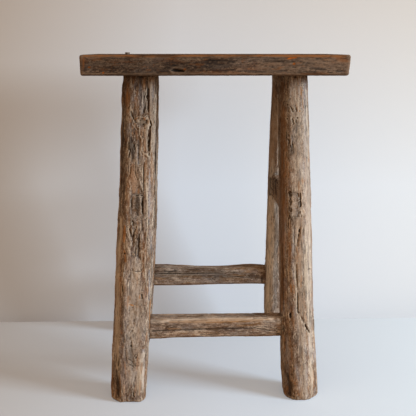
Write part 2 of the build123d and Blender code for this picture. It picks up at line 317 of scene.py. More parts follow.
front_right_marks = (
    ("crack", 2.6, 3, (288, 81.4)),
    ("crack", 2, 2.5, (302.2, 83.3)),
    ("crack", 2, 2.5, (303.4, 85.4)),
    ("crack", 2.2, 2.5, (290, 99)),
    ("crack", 2, 2, (285, 103)),
    ("crack", 2.2, 2, (287.2, 104.8)),
    ("crack", 2.2, 2.2, (286.9, 118.8)),
    ("crack", 2.4, 2.2, (297.2, 118)),
    ("crack", 2, 2.6, (290.4, 106), (293, 112)),
    ("crack", 2.2, 2.6, (295, 105.5), (297, 112)),
    ("crack", 2, 2.4, (292, 118.5), (293.8, 124)),
    ("crack", 1.8, 2, (295.6, 119), (296.2, 123)),
    ("fleck", 2, 0, (303, 90.4)),
    ("fleck", 2, 0, (299.9, 111.2)),
    ("amber", 4, 0, (301, 87), (301.5, 96)),
    ("crack", 1.8, 1.2, (286, 130), (286, 142)),
    ("pale", 4, -0.4, (291.5, 129.6)),
    ("crack", 2.2, 1.8, (292.5, 143), (292.9, 147.6)),
    ("crack", 1.3, 0.8, (296, 151), (302, 154), (308, 159)),
    ("crack", 1.3, 0.8, (296.6, 155), (304, 159)),
    ("pale", 2, 0, (288.4, 165), (288.4, 169)),
    ("grey", 10, 0, (304, 84), (304.6, 120), (305.4, 150)),
    ("crack", 5.5, 4, (289.6, 193)),
    ("crack", 6, 4, (288.8, 212), (288.8, 218)),
    ("crack", 1.4, 1.2, (288.8, 217.6), (295.7, 218.8)),
    ("crack", 2, 2.4, (288.3, 218), (288, 229)),
    ("crack", 5.6, 4, (300.2, 193.5), (300.2, 199.5)),
    ("crack", 5.6, 4, (300.3, 201), (300.4, 206.5)),
    ("crack", 3, 2, (300, 211), (299.9, 214.5)),
    ("crack", 2.7, 2.6, (301.8, 215), (300, 227), (298.7, 236), (296.8, 243.5),
     (295.7, 255), (296, 266.5), (297, 278), (297.6, 297)),
    ("grey", 6, 0.4, (295.6, 228), (294, 240), (292.8, 254), (293, 268), (294, 284)),
    ("ridge", 2.4, -0.6, (306.4, 236), (306.4, 250), (306.2, 264)),
    ("crack", 2.4, 1.4, (309.8, 269)),
    ("ridge", 2.2, -0.9, (288.4, 286.5), (288.6, 293.5)),
    ("amber", 4, 0, (290.6, 284), (291, 292)),
    ("crack", 1.8, 1.6, (294.5, 300)),
    # Painted shade low on the leg's left side
    ("stain", 7, 0, (282.6, 243), (283, 275), (283, 309)),
    ("crack", 5.4, 8, (290.5, 313.6), (290.4, 317.4)),
    ("ridge", 2.6, -0.9, (286.6, 312), (286.4, 318.6)),
    ("crack", 3.2, 2.6, (297.6, 297), (297.8, 311.5), (302.6, 319.6), (305.3, 324.3)),
    ("crack", 4.8, 5, (304, 322), (306.4, 326.4), (309.9, 332.2)),
    ("stain", 17, 0.4, (287, 374), (290, 386), (290, 395)),
    # Painted shadow under the seat, across the top of the leg
    ("stain", 5, 0, (283, 76.8), (295, 77), (307, 76.8)),
    ("pale", 7, 0, (312, 370), (311.6, 382)),
    # Painted shade down the leg's left side, which faces away from the window
    ("shade", 20, 0, (281.6, 84), (282, 150), (282, 220), (281, 309)),
    # Down the lit right side: grey weathering, and pale strokes that are painted light
    ("grey", 9, 0, (305.6, 84), (306.6, 110), (307.2, 140)),
    ("pale", 9, 0, (306, 90), (307.4, 130), (308, 170)),
    ("pale", 9, 0, (309, 200), (309.6, 250), (310.4, 300)),
    ("stain", 3, 0.2, (303.6, 228), (303, 236)),
    ("stain", 3, 0.2, (301, 240), (302, 250)),
    ("stain", 3, 0.2, (304.8, 246), (305, 254)),
    ("stain", 2.6, 0.2, (308.6, 262), (309, 274)),
    ("stain", 2.6, 0.2, (306, 290), (306.4, 300)),
    ("grey", 12, 0, (309, 338), (311, 352), (312, 362)),
    # Painted warm shade on the left side, as warm room light fills the shade
    ("warmed", 20, 0, (282, 84), (283, 150), (283, 220), (282, 309)),
    # Painted light down the lit right side, over grey weathering
    ("greyed", 22, 0, (305, 84), (307, 160), (309, 240), (311, 340)),
    ("faded", 22, 0, (305, 110), (307, 160), (309, 240), (311, 340)),
    ("pale", 16, 0, (306, 225), (306, 262), (307, 300), (310, 330)),
    ("faded", 26, 0, (298, 84), (298, 150), (299, 220), (300, 300), (304, 396)),
    ("faded", 30, 0, (296, 82), (296, 110), (297, 150)),
    # Painted light on the lit right side, down to the foot
    ("pale", 12, 0, (310, 330), (311, 360), (312, 394)),
)
rear_left_marks = (
    # Painted shadow: dark lines without depth in the gap beside the front left leg
    ("crack", 5, 0, (155.3, 140), (155, 180), (154.4, 228)),
    ("crack", 5, 0, (152.4, 236), (151.8, 262), (151.4, 310)),
    # Painted light on the window-lit strip of the leg
    ("faded", 40, 0, (157, 150), (155, 230)),
)
rear_right_marks = (
    # Painted light and shade: warmer near the top, in the seat's shade, and paler lower down, where more
    # light reaches the leg
    ("warmed", 36, 0, (274, 90), (270, 165)),
    ("faded", 36, 0, (273, 100), (270, 165)),
    ("pale", 44, 0, (271, 160), (271, 200), (269, 250), (267, 310)),
    ("pale", 44, 0, (271, 200), (269, 250), (267, 310)),
    # Painted highlight: a thin pale line along the leg's right edge
    ("ridge", 2.6, 0, (277.7, 95), (277.9, 150), (278, 200)),
    # Painted shadow of the right stretcher, cast on the leg
    ("stain", 12, 0, (270, 178), (269.8, 186), (269.4, 195)),
    ("stain", 9, 0, (269.4, 179.4), (271.6, 178.8)),
    ("stain", 9, 0, (268.8, 194.6), (271.4, 194.2)),
    # Painted shade that dims the window-lit strip at the right
    ("shade", 9, 0, (277, 202), (276.6, 250), (275.8, 308)),
    ("shade", 9, 0, (276, 202), (275.6, 250), (274.8, 308)),
    # Painted light across the leg's left part
    ("ridge", 30, 0, (269, 204), (268.4, 250), (267.6, 308)),
)
left_tenon_marks = (
    ("stain", 15, 0.2, (137.6, 197), (137.6, 215)),
    ("shade", 18, 0, (137, 198), (137, 214)),
    ("crack", 5.4, 3, (142.6, 197.5), (142.2, 205), (142.4, 213.5)),
    ("crack", 3.6, 1.6, (136, 195.4), (139, 195.2)),
    ("crack", 3.4, 1.6, (140.4, 195.4), (142.6, 195.6)),
    ("crack", 2.8, 1, (131.8, 199), (132, 208)),
)
right_tenon_marks = (
    # Painted shade on the stretcher's inner face, where it meets the rear leg
    ("stain", 30, 0, (273, 180), (273, 194)),
    ("stain", 30, 0, (276, 180), (276, 194)),
    ("crack", 5.5, 3, (290.8, 193), (290.6, 197)),
    ("crack", 5.6, 3, (290.4, 198.5), (290.4, 205)),
    ("crack", 6, 3, (291, 208.5), (290.6, 212)),
    ("crack", 5.6, 3, (298.8, 193.5), (298.8, 199.5)),
    ("crack", 5.6, 3, (299, 201), (299.2, 206.5)),
    ("faded", 14, 0, (294, 194), (294, 216)),
)
front_stretcher_marks = (
    ("crack", 2.2, 1.4, (149.4, 336)),
    ("pale", 4, -0.3, (198, 322.4), (225, 321.6), (256, 321.2)),
    ("amber", 4, 0, (206, 322.6), (250, 321.4)),
    ("stain", 4.5, 0.3, (152, 331), (190, 329.4), (230, 328.4), (256, 328)),
    ("crack", 1.5, 1.2, (254, 328), (266, 330), (278, 332)),
    ("crack", 1.4, 1, (262, 326.4), (277, 328.8)),
    ("crack", 2.4, 1.2, (229, 314.4)),
    ("crack", 2, 1.2, (211, 314.8)),
    ("pale", 2.4, 0, (277.8, 316), (278, 333)),
    # Painted light along the rail's upper half, which faces the light
    ("pale", 14, 0, (152, 321), (210, 320), (272, 319)),
    ("warmed", 12, 0, (170, 322), (210, 321), (262, 320)),
)
rear_stretcher_marks = (
    ("crack", 2.6, 2.4, (155, 274), (170, 273.6), (186, 274.2), (204, 273.4), (221, 273.6)),
    ("crack", 1.5, 1.2, (222.8, 275.9), (240, 277), (264.8, 279.4)),
    ("stain", 5, 0.4, (164, 271), (173, 271.4)),
    ("stain", 4, 0.3, (170, 279), (173, 279)),
    ("crack", 2.4, 1.4, (181.7, 277)),
    ("crack", 2.2, 1.2, (187, 278)),
    ("crack", 2.4, 1.4, (212.5, 278.5)),
    ("fleck", 1.8, 0, (251.8, 269.6)),
    ("crack", 2.6, 2, (207.6, 266)),
    ("stain", 7, 0, (261, 268), (262, 282)),
    # Painted shade over the rear rail, which lies in the stool's shade
    ("shade", 34, 0, (155, 274), (210, 274), (266, 275)),
)

# Patches of small marks in the photograph: kind, how many, width and depth in mm,
# how far one runs in pixels, and two corners of the patch in pixels
seat_patches = (
    ("pale", 60, 1.7, -0.25, (0.8, 0.6), (137, 56.5), (153, 71)),
    ("pit", 30, 1.6, 0.5, (1, 0.4), (137, 56.5), (153, 71)),
    ("pale", 26, 1.5, -0.2, (1, -0.8), (184, 57), (193, 65)),
    ("shade", 40, 2.4, 0.3, (5, 0.3), (170, 58), (236, 68)),
    ("pale", 60, 1.5, -0.2, (2.5, 0), (84, 62), (136, 73)),
    ("pit", 50, 1.7, 0.4, (3, 0), (84, 58), (136, 73)),
    ("pale", 90, 1.5, -0.2, (3, 0), (236, 58), (346, 73)),
    ("pit", 70, 1.7, 0.4, (4, 0), (236, 58), (346, 73)),
    ("warmed", 14, 4, 0, (6, 0), (84, 57), (346, 73)),
)
front_left_patches = (
    ("shade", 30, 2.6, 0.5, (0.3, 1.5), (127, 128), (139, 160)),
    ("pale", 30, 1.7, -0.3, (0.3, 1.2), (126, 100), (148, 128)),
    ("pale", 50, 1.8, -0.3, (0.4, 1.8), (126, 160), (146, 196)),
    ("pit", 26, 1.8, 0.5, (0.3, 1.5), (126, 160), (146, 192)),
    ("shade", 50, 2.4, 0.4, (0.6, 1), (130, 232), (141, 272)),
    ("pit", 60, 1.6, 0.4, (1, 0.3), (122, 272), (146, 350)),
    ("pale", 80, 1.8, -0.2, (1, 0.3), (118, 262), (146, 345)),
    ("pit", 50, 1.5, 0.4, (2.2, 0.5), (124, 345), (138, 366)),
    ("pale", 30, 1.8, -0.2, (0.3, 1.5), (126, 366), (142, 396)),
    ("warmed", 30, 4, 0, (0.5, 4), (122, 90), (146, 200)),
)
front_right_patches = (
    ("pit", 24, 1.9, 0.8, (0.2, 1), (284, 80), (304, 128)),
    ("pit", 30, 1.6, 0.4, (0.3, 2), (286, 128), (304, 190)),
    ("pale", 70, 1.7, -0.2, (0.3, 3), (287, 84), (306, 300)),
    ("pit", 30, 2, 0.4, (0.2, 1), (297, 236), (308, 300)),
    ("greyed", 24, 3.5, 0, (0.3, 4), (299, 84), (309, 360)),
    ("pale", 30, 1.8, -0.2, (0.3, 3), (290, 325), (312, 396)),
    ("pit", 30, 1.6, 0.4, (0.2, 2), (286, 325), (312, 394)),
)
rear_right_patches = (
    ("pit", 40, 1.7, 0.4, (0.1, 2), (268, 90), (277, 308)),
    ("pale", 30, 1.7, 0, (0.1, 3), (268, 200), (277, 308)),
)
front_stretcher_patches = (
    ("pit", 44, 1.5, 0.3, (2, 0.1), (152, 316), (277, 333)),
    ("pale", 40, 1.5, -0.2, (2, 0), (152, 315), (277, 328)),
)
rear_stretcher_patches = (
    ("pit", 36, 1.5, 0.3, (2, 0.1), (157, 266), (262, 283)),
    ("pale", 26, 1.4, -0.2, (2, 0), (157, 266), (262, 283)),
)

# Wood colours, as they show under plain light, 0 to 255
leg_look = {
    "deep": (76, 52, 37),
    "mid": (135, 110, 92),
    "light": (206, 183, 160),
    "grey": (158, 148, 146),
    "amber": (166, 115, 73),
    "fleck": (232, 152, 60),
    "dirt": (26, 17, 12),
}
seat_look = {
    "deep": (46, 31, 22),
    "mid": (90, 67, 51),
    "light": (156, 126, 101),
    "grey": (118, 102, 92),
    "amber": (150, 94, 52),
    "fleck": (232, 118, 22),
    "dirt": (18, 13, 10),
}
# A paler copy of the leg wood for the rear right leg: painted light, standing in for the light that leg
# catches
painted_light_look = {
    "deep": (112, 92, 78),
    "mid": (170, 150, 136),
    "light": (232, 216, 200),
    "grey": (186, 176, 172),
    "amber": (176, 136, 104),
    "fleck": (214, 118, 40),
    "dirt": (30, 21, 15),
}
stretcher_look = {
    "deep": (88, 64, 48),
    "mid": (152, 127, 109),
    "light": (208, 184, 162),
    "grey": (148, 137, 130),
    "amber": (158, 116, 76),
    "fleck": (205, 140, 80),
    "dirt": (30, 21, 15),
}
wood_stops = ((0.15, "deep"), (0.52, "mid"), (0.9, "light"))

# Noises in the wood: width and length of a cell in mm, detail and roughness
wood_layers = {
    "broad": (15, 50, 4, 0.6),
    "streaks": (4, 36, 4, 0.6),
    "fibres": (1.2, 14, 4, 0.6),
    "grit": (1.4, 2, 4, 0.75),
    "blotches": (12, 40, 4, 0.6),
    "warmth": (7, 70, 4, 0.6),
    "speckles": (2.2, 4, 4, 0.6),
    "mottle": (4.5, 9, 4, 0.7),
    "lines": (3, 32, 3, 0.6),
}

# What they add to its lightness: the stretch of a noise that counts, then the least and the most
wood_body = (
    ("broad", 0.3, 0.7, 0, 0.62),
    ("streaks", 0.32, 0.68, 0, 0.38),
    ("fibres", 0.3, 0.7, -0.15, 0.15),
    ("speckles", 0.3, 0.7, -0.14, 0.14),
    ("mottle", 0.32, 0.68, -0.24, 0.24),
    ("grit", 0.3, 0.7, -0.24, 0.24),
)

# Flecks of its other colours: the stretch of a noise that counts, the most it covers, and the colour
wood_flecks = (
    ("mottle", 0.42, 0.34, 0.5, "amber"),
    ("mottle", 0.58, 0.66, 0.55, "light"),
    ("speckles", 0.53, 0.61, 0.7, "deep"),
)

# Its other stretches, and how much marks and lines cover
warmth_span = (0.5, 0.66, 0, 0.55)
patina_span = (0.5, 0.66, 0, 0.6)
amber_span = (0.05, 0.5)
fleck_span = (0.6, 0.95)
dirt_span = (0.3, 0.7, 0.85, 1.1)
line_span = (0, 0.06, 1, 0)
line_streaks = (0.45, 0.55)
line_cover = 0.6
pale_cover = 0.88

# Its sheen and its finest relief
roughness_span = (0.3, 0.7, 0.74, 0.92)
wood_specular = 0.12
wood_bump = (("fibres", 0.6), ("streaks", 0.6), ("speckles", 0.25))
line_bump = 0.5
bump_strength = 0.5
bump_depth = 0.6 * mm


def pixel_ray(x, y):
    """Direction in which the camera sees a pixel of the photograph."""
    middle = photo_pixels / 2
    return camera_turn.to_matrix() @ Vector((x - middle, middle - y, -focal_pixels)).normalized()


def fade(values, low, high):
    """0 below low, 1 above high, and a smooth step between."""
    share = np.clip((values - low) / (high - low), 0, 1)
    return share * share * (3 - 2 * share)


def noise(places, seed):
    """Smooth seeded noise from about -1 to 1, with cells one unit wide."""
    source = np.random.default_rng(seed)
    last = noise_entries - 1
    order = source.permutation(noise_entries)
    slopes = source.normal(size=(noise_entries, 3))
    slopes /= np.linalg.norm(slopes, axis=1)[:, None]
    cell = np.floor(places).astype(int)
    part = places - cell
    blend = part**3 * (part * (part * 6 - 15) + 10)
    total = np.zeros(len(places))
    for corner in product((0, 1), repeat=3):
        at = (cell + corner) & last
        index = order[(order[(order[at[:, 0]] + at[:, 1]) & last] + at[:, 2]) & last]
        weight = np.prod(np.where(corner, blend, 1 - blend), axis=1)
        total += weight * np.einsum("ij,ij->i", slopes[index], part - corner)
    return total * noise_level


def layered(places, seed, layers=3):
    """Noise with finer and weaker layers added."""
    return sum(noise(places * 2**layer, seed + layer) / 2**layer for layer in range(layers))


def rows_of(items, field, width, kind):
    """One field of a mesh's vertices or edges, a row for each."""
    values = np.empty(len(items) * width, kind)
    items.foreach_get(field, values)
    return values.reshape(-1, width)


def move_points(mesh, points):
    """Puts a mesh's vertices at new places."""
    mesh.vertices.foreach_set("co", points.astype(np.float32).ravel())
    mesh.update()


def smoothed(values, edges, rounds):
    """Values at vertices, blended with their neighbours' a number of times."""
    one, other = edges.T
    size = len(values)
    count = np.bincount(edges.ravel(), minlength=size)
    values = values.reshape(size, -1)
    for _ in range(rounds):
        around = [
            np.bincount(one, column[other], size) + np.bincount(other, column[one], size)
            for column in values.T
        ]
        values = (values + np.stack(around, 1) / count[:, None]) / 2
    return values


def add_object(name, data):
    """A new object in the scene."""
    made = bpy.data.objects.new(name, data)
    bpy.context.collection.objects.link(made)
    return made


def even_mesh(name, cell):
    """A fresh closed mesh of a node's shape, with its vertices about one cell apart."""
    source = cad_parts[name].data.copy()
    welded = bmesh.new()
    welded.from_mesh(source)
    bmesh.ops.remove_doubles(welded, verts=welded.verts, dist=weld_distance)
    welded.to_mesh(source)
    welded.free()
    rough = add_object(name + "_rough", source)
    remesh = rough.modifiers.new("even", "REMESH")
    remesh.mode = "VOXEL"
    remesh.voxel_size = cell
    evaluated = rough.evaluated_get(bpy.context.evaluated_depsgraph_get())
    mesh = bpy.data.meshes.new_from_object(evaluated)
    bpy.data.objects.remove(rough)
    return mesh


def tree_of(names):
    """The shapes of some nodes, ready for nearest-point and ray questions."""
    corners = []
    faces = []
    for name in names:
        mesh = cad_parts[name].data
        start = len(corners)
        corners += [vertex.co.copy() for vertex in mesh.vertices]
        faces += [[start + corner for corner in face.vertices] for face in mesh.polygons]
    return BVHTree.FromPolygons(corners, faces)


def room_round(points, name):
    """How far points of a piece are from the pieces that it meets, up to the reach, and the way there."""
    near = []
    close = np.zeros(len(points), bool)
    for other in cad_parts:
        low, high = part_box(other)
        above = (points > np.array(low) - reach_round).all(1)
        inside = above & (points < np.array(high) + reach_round).all(1)
        if other != name and inside.any():
            near.append(other)
            close |= inside
    tree = tree_of(near)
    room = np.full(len(points), reach_round)
    towards = np.zeros((len(points), 3))
    for index in np.flatnonzero(close):
        place, _, _, distance = tree.find_nearest(Vector(points[index]), reach_round)
        if distance is not None:
            room[index] = distance
            towards[index] = (np.array(place) - points[index]) / max(distance, weld_distance)
    return room, towards


def own_frame(points, axis):
    """Places in a piece's own frame: across, across and along the line between its two ends."""
    places = points[:, axis]
    limits = (places.min(), places.max())
    start, finish = (points[np.abs(places - limit) < end_reach].mean(0) for limit in limits)
    along = (finish - start) / np.linalg.norm(finish - start)
    aside = np.cross(along, (0, 1, 0) if axis != 1 else (1, 0, 0))
    aside /= np.linalg.norm(aside)
    turn = np.stack([aside, np.cross(along, aside), along])
    return (points - start) @ turn.T, along


def grained(own, seed, across, along):
    """Noise whose cells are drawn out along the grain, in mm."""
    return layered(own / (np.array([across, across, along]) * mm), seed)


def relief_of(own, relief, seed):
    """How far hewing and weather moved a surface, and where drying opened checks in it."""
    (tool, *tool_cell), (rib, *rib_cell), (fibre, *fibre_cell), (check, *line_cell) = relief
    rough = calm_share + (1 - calm_share) * fade(grained(own, seed + 50, *calm_cell), *calm_step)
    moved = tool * grained(own, seed, *tool_cell)
    moved -= rib * rough * np.abs(grained(own, seed + 10, *rib_cell))
    moved += fibre * grained(own, seed + 20, *fibre_cell)
    lines = 1 - fade(np.abs(grained(own, seed + 30, *line_cell)), 0, check_share)
    checks = lines * fade(grained(own, seed + 40, *check_cell), *check_step)
    return (moved - level_share * moved.mean() - check * checks) * mm, checks


def share_on_path(points, path, width, wobble):
    """1 on a path, falling to 0 half a width away, narrower towards the path's ends."""
    if len(path) == 1:
        distance = np.linalg.norm(points - path[0], axis=1) / dot_spread
        place = np.full(len(points), 0.5)
    else:
        distance = np.full(len(points), np.inf)
        place = np.zeros(len(points))
        for index, (start, finish) in enumerate(zip(path, path[1:])):
            run = finish - start
            if not run @ run:
                continue
            share = np.clip((points - start) @ run / (run @ run), 0, 1)
            here = np.linalg.norm(points - start - share[:, None] * run, axis=1)
            closer = here < distance
            distance = np.where(closer, here, distance)
            place = np.where(closer, (index + share) / (len(path) - 1), place)
    taper = end_width + (1 - end_width) * np.sin(math.pi * place)
    reach = width / 2 * taper * (1 + edge_wobble * wobble)
    return fade(edge_fall * (1 - distance / reach), 0, 1)


def photo_path(pixels, tree):
    """Places on a piece that the photograph shows at some pixels."""
    seen = [tree.ray_cast(camera_place, pixel_ray(x, y))[0] for x, y in pixels]
    return [np.array(place) for place in seen if place is not None]


def random_marks(tree, points, normals, along, source, plan, keep_front):
    """Cracks, pits and chips at seeded places, each following the grain over the surface."""
    marks = []
    for kind, count, widths, depths, lengths in plan:
        for _ in range(count):
            start = source.integers(len(points))
            width, depth, length = (source.uniform(*limits) for limits in (widths, depths, lengths))
            to_front = normals[start] @ front
            to_end = abs(normals[start] @ along)
            if keep_front and (to_front > front_limit or to_end > end_limit):
                continue
            steps = max(1, round(length / path_step))
            path = [points[start]]
            heading = along * source.choice((-1, 1))
            for _ in range(steps if length else 0):
                aside = np.cross(heading, normals[start]) * source.normal(0, path_turn)
                ahead = path[-1] + (heading + aside) * length / steps * mm
                path.append(np.array(tree.find_nearest(Vector(ahead))[0]))
            marks.append((kind, width, depth, path))
    return marks


def patch_marks(patches, seed):
    """Small marks at seeded pixels inside patches of the photograph."""
    source = np.random.default_rng(seed)
    marks = []
    for kind, count, width, deep, run, low, high in patches:
        for x, y in source.uniform(low, high, (count, 2)):
            size, way = source.uniform(*patch_sizes, 2)
            marks.append((kind, width * size, deep, (x, y), (x + run[0] * way, y + run[1] * way)))
    return tuple(marks)


def add_marks(points, marks, seed):
    """Depth and colours that a list of marks gives to each point."""
    depth = np.zeros(len(points))
    colours = np.zeros((len(points), 4))
    for index, (kind, width, deep, path) in enumerate(marks):
        reach = width * mm
        low = np.min(path, 0) - reach
        high = np.max(path, 0) + reach
        near = np.flatnonzero(((points > low) & (points < high)).all(1))
        if not len(near):
            continue
        wobble = layered(points[near] / (max(width, wobble_cell) * mm), seed + index, 2)
        share = share_on_path(points[near], path, width * mm, wobble)
        depth[near] += deep * mm * share * np.where(deep > 0, np.sqrt(share), 1)
        colours[near] = np.maximum(colours[near], share[:, None] * mark_colours[kind])
    return depth, colours


def write_attribute(mesh, name, kind, values):
    """Stores values at a mesh's vertices for its material."""
    attribute = mesh.attributes.new(name, kind, "POINT")
    field = {"FLOAT_VECTOR": "vector", "FLOAT_COLOR": "color"}[kind]
    attribute.data.foreach_set(field, values.astype(np.float32).ravel())


def eased(plain, edges, rounds, room):
    """A mesh's places smoothed, and left crisp where pieces meet and at the feet."""
    share = fade(room, 0, crisp_reach) * fade(plain[:, 2], 0, crisp_foot)
    return plain + (smoothed(plain, edges, rounds) - plain) * share[:, None]


def growth(points, normals, room, towards, seed):
    """How far a surface grows towards a face just across a gap, so that the gap is ragged and narrow."""
    facing = fade((normals * towards).sum(1), *facing_step) * (room < widest_gap)
    ragged = fade(layered(points / filled_cell, seed, 2), *filled_step)
    return room * facing * (filled_least + filled_more * ragged)


def marks_on(name, points, normals, along, photo_marks, plan, fine_plan, seed):
    """A piece's marks from the photograph and its seeded ones, with their paths on the piece."""
    tree = tree_of([name])
    seen = [(kind, width, deep, photo_path(pixels, tree)) for kind, width, deep, *pixels in photo_marks]
    source = np.random.default_rng(seed)
    loose = random_marks(tree, points, normals, along, source, plan, bool(photo_marks))
    loose += random_marks(tree, points, normals, along, source, fine_plan, False)
    return [mark for mark in seen if mark[3]], loose


def shades_on(points, normals, edges, colours, checks, room, free, seam):
    """Dark, pale, amber and grey at each point: its marks, dirt and painted shade in its hollows, wear and
    painted highlight on its ridges, its dark joints with painted contact shade round them, and stain and
    painted shade towards the top.
    """
    broad = ((points - smoothed(points, edges, broad_rounds)) * normals).sum(1) / mm
    fine = ((points - smoothed(points, edges, fine_rounds)) * normals).sum(1) / mm
    # Dirt and painted shade in hollows, less of it near joints
    hollows = np.maximum(fade(-broad, *broad_hollow) * broad_dark, fade(-fine, *fine_height) * fine_dark)
    hollows *= joint_hollows + (1 - joint_hollows) * free
    # Painted contact shade: darker the nearer a point lies to a piece it meets
    contact_shade = (1 - fade(room, 0, contact_shade_reach)) * contact_shade_dark
    dark = np.maximum.reduce([colours[:, 0], checks * check_dark * free, hollows, seam_dark * seam, contact_shade])
    # Darker towards the top: stain, and painted shade under the seat
    dark = 1 - (1 - dark) * (1 - aged_and_shaded_share * fade(points[:, 2], *aged_and_shaded_step))
    # Wear and painted highlight on ridges
    worn_and_lit = np.maximum(fade(broad, *broad_ridge), fade(fine, *fine_height))
    pale = np.maximum(colours[:, 1], worn_and_lit * (worn_and_lit_least + worn_and_lit_more * free))
    return np.stack([dark, pale, colours[:, 2], colours[:, 3]], 1)


def dress(name, axis, relief, seed, material, photo_marks, cell, rounds, slot, plan, fine_plan):
    """A weathered piece in place of a node: evenly meshed, hewn, cracked, marked and coloured."""
    mesh = even_mesh(name, cell)
    edges = rows_of(mesh.edges, "vertices", 2, np.int32)
    plain = rows_of(mesh.vertices, "co", 3, np.float32).astype(float)
    room, towards = room_round(plain, name)
    points = eased(plain, edges, rounds, room)
    move_points(mesh, points)
    normals = rows_of(mesh.vertex_normals, "vector", 3, np.float32).astype(float)
    own, along = own_frame(points, axis)
    free = fade(room, seam_reach, free_reach)
    seam = (1 - fade(room, 0, seam_reach)) * fade(layered(points / seam_cell, seed + 70), *seam_step)
    grown = growth(points, normals, room, towards, seed + 80)
    seen, loose = marks_on(name, points, normals, along, photo_marks, plan, fine_plan, seed)
    moved, checks = relief_of(own, relief, seed)
    seen_cut, seen_colours = add_marks(points, seen, seed + 100)
    loose_cut, loose_colours = add_marks(points, loose, seed + 400)
    outward = free * (moved - loose_cut) - seen_cut + grown - seam_depth * seam
    points = points + normals * outward[:, None]
    points[:, 2] = np.clip(points[:, 2], 0, plain[:, 2].max())
    move_points(mesh, points)
    colours = np.maximum(seen_colours, loose_colours)
    shades = shades_on(points, normals, edges, colours, checks, room, free, seam)
    write_attribute(mesh, "shades", "FLOAT_COLOR", shades)
    shift = np.random.default_rng(seed).uniform(0, grain_shift, 3)
    write_attribute(mesh, "grain", "FLOAT_VECTOR", own + shift)
    mesh.shade_smooth()
    mesh.materials.clear()
    mesh.materials.append(material)
    piece = add_object(name + "_wood", mesh)
    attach(piece, "root")
    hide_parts(name)


def colour(rgb):
    """A colour written 0 to 255, as a shader's linear colour."""
    shares = [value / 255 for value in rgb]
    return [*(((s + 0.055) / 1.055) ** 2.4 if s > 0.04045 else s / 12.92 for s in shares), 1]


def feed(tree, made, inputs):
    """Gives a shader node's inputs, by name or number, their constants and their links."""
    for name, value in inputs.items():
        if isinstance(value, bpy.types.NodeSocket):
            tree.links.new(value, made.inputs[name])
        else:
            made.inputs[name].default_value = value


def node(tree, kind, inputs, **settings):
    """A shader node with its settings and its inputs."""
    made = tree.nodes.new(kind)
    for name, value in settings.items():
        setattr(made, name, value)
    feed(tree, made, inputs)
    return made


def grain_noise(tree, grain, across, along, detail, rough):
    """Noise drawn out along the grain: cells of a width and a length in mm."""
    scale = (1 / (across * mm), 1 / (across * mm), 1 / (along * mm))
    placed = node(tree, "ShaderNodeMapping", {"Vector": grain, "Scale": scale}).outputs[0]
    inputs = {"Vector": placed, "Scale": 1.0, "Detail": detail, "Roughness": rough}
    return node(tree, "ShaderNodeTexNoise", inputs).outputs["Fac"]


def span(tree, value, low, high, to_low=0.0, to_high=1.0):
    """A value stretched from one span to another, and held inside it."""
    inputs = {"Value": value, "From Min": low, "From Max": high, "To Min": to_low, "To Max": to_high}
    return node(tree, "ShaderNodeMapRange", inputs, clamp=True).outputs[0]


def mixed(tree, share, one, other, blend="MIX"):
    """One colour blended into another."""
    inputs = {"Fac": share, "Color1": one, "Color2": other}
    return node(tree, "ShaderNodeMixRGB", inputs, blend_type=blend).outputs[0]


def mixed_shader(tree, share, one, other):
    """One shader blended into another."""
    return node(tree, "ShaderNodeMixShader", {"Fac": share, 1: one, 2: other}).outputs[0]


def reckon(tree, operation, one, other):
    """A sum, product or the like of two numbers."""
    return node(tree, "ShaderNodeMath", {0: one, 1: other}, operation=operation).outputs[0]


def thin_lines(tree, layers):
    """Thin dark lines along the grain, where a noise crosses its middle, in some streaks only."""
    from_middle = reckon(tree, "ABSOLUTE", reckon(tree, "SUBTRACT", layers["lines"], 0.5), 0)
    line = span(tree, from_middle, *line_span)
    return reckon(tree, "MULTIPLY", line, span(tree, layers["streaks"], *line_streaks))


def ramp(tree, value, stops):
    """The colour at a value, between colours that each have a place from 0 to 1."""
    made = node(tree, "ShaderNodeValToRGB", {"Fac": value})
    elements = made.color_ramp.elements
    for place, _ in stops[1:-1]:
        elements.new(place)
    for element, (place, rgb) in zip(elements, stops):
        element.position = place
        element.color = colour(rgb)
    return made.outputs[0]


def wood_colour(tree, look, layers, lines, marks):
    """The wood's own colours, its patina and flecks, then its marks, its lines and its dirt, which also
    carries painted shade.
    """
    tones = {tone: colour(rgb) for tone, rgb in look.items()}
    body = 0.0
    for layer, *limits in wood_body:
        body = reckon(tree, "ADD", body, span(tree, layers[layer], *limits))
    shown = ramp(tree, body, [(place, look[tone]) for place, tone in wood_stops])
    shown = mixed(tree, span(tree, layers["warmth"], *warmth_span), shown, tones["amber"])
    patina = span(tree, layers["blotches"], *patina_span)
    shown = mixed(tree, reckon(tree, "MAXIMUM", patina, marks["grey"]), shown, tones["grey"])
    for layer, low, high, most, tone in wood_flecks:
        shown = mixed(tree, span(tree, layers[layer], low, high, 0, most), shown, tones[tone])
    shown = mixed(tree, reckon(tree, "MULTIPLY", marks["pale"], pale_cover), shown, tones["light"])
    shown = mixed(tree, span(tree, marks["amber"], *amber_span), shown, tones["amber"])
    shown = mixed(tree, span(tree, marks["amber"], *fleck_span), shown, tones["fleck"])
    shown = mixed(tree, reckon(tree, "MULTIPLY", lines, line_cover), shown, tones["dirt"])
    # The dark channel, drawn in the dirt colour, holds real dirt and cracks and also painted shade
    streaked = reckon(tree, "MULTIPLY", marks["dark"], span(tree, layers["fibres"], *dirt_span))
    return mixed(tree, streaked, shown, tones["dirt"])


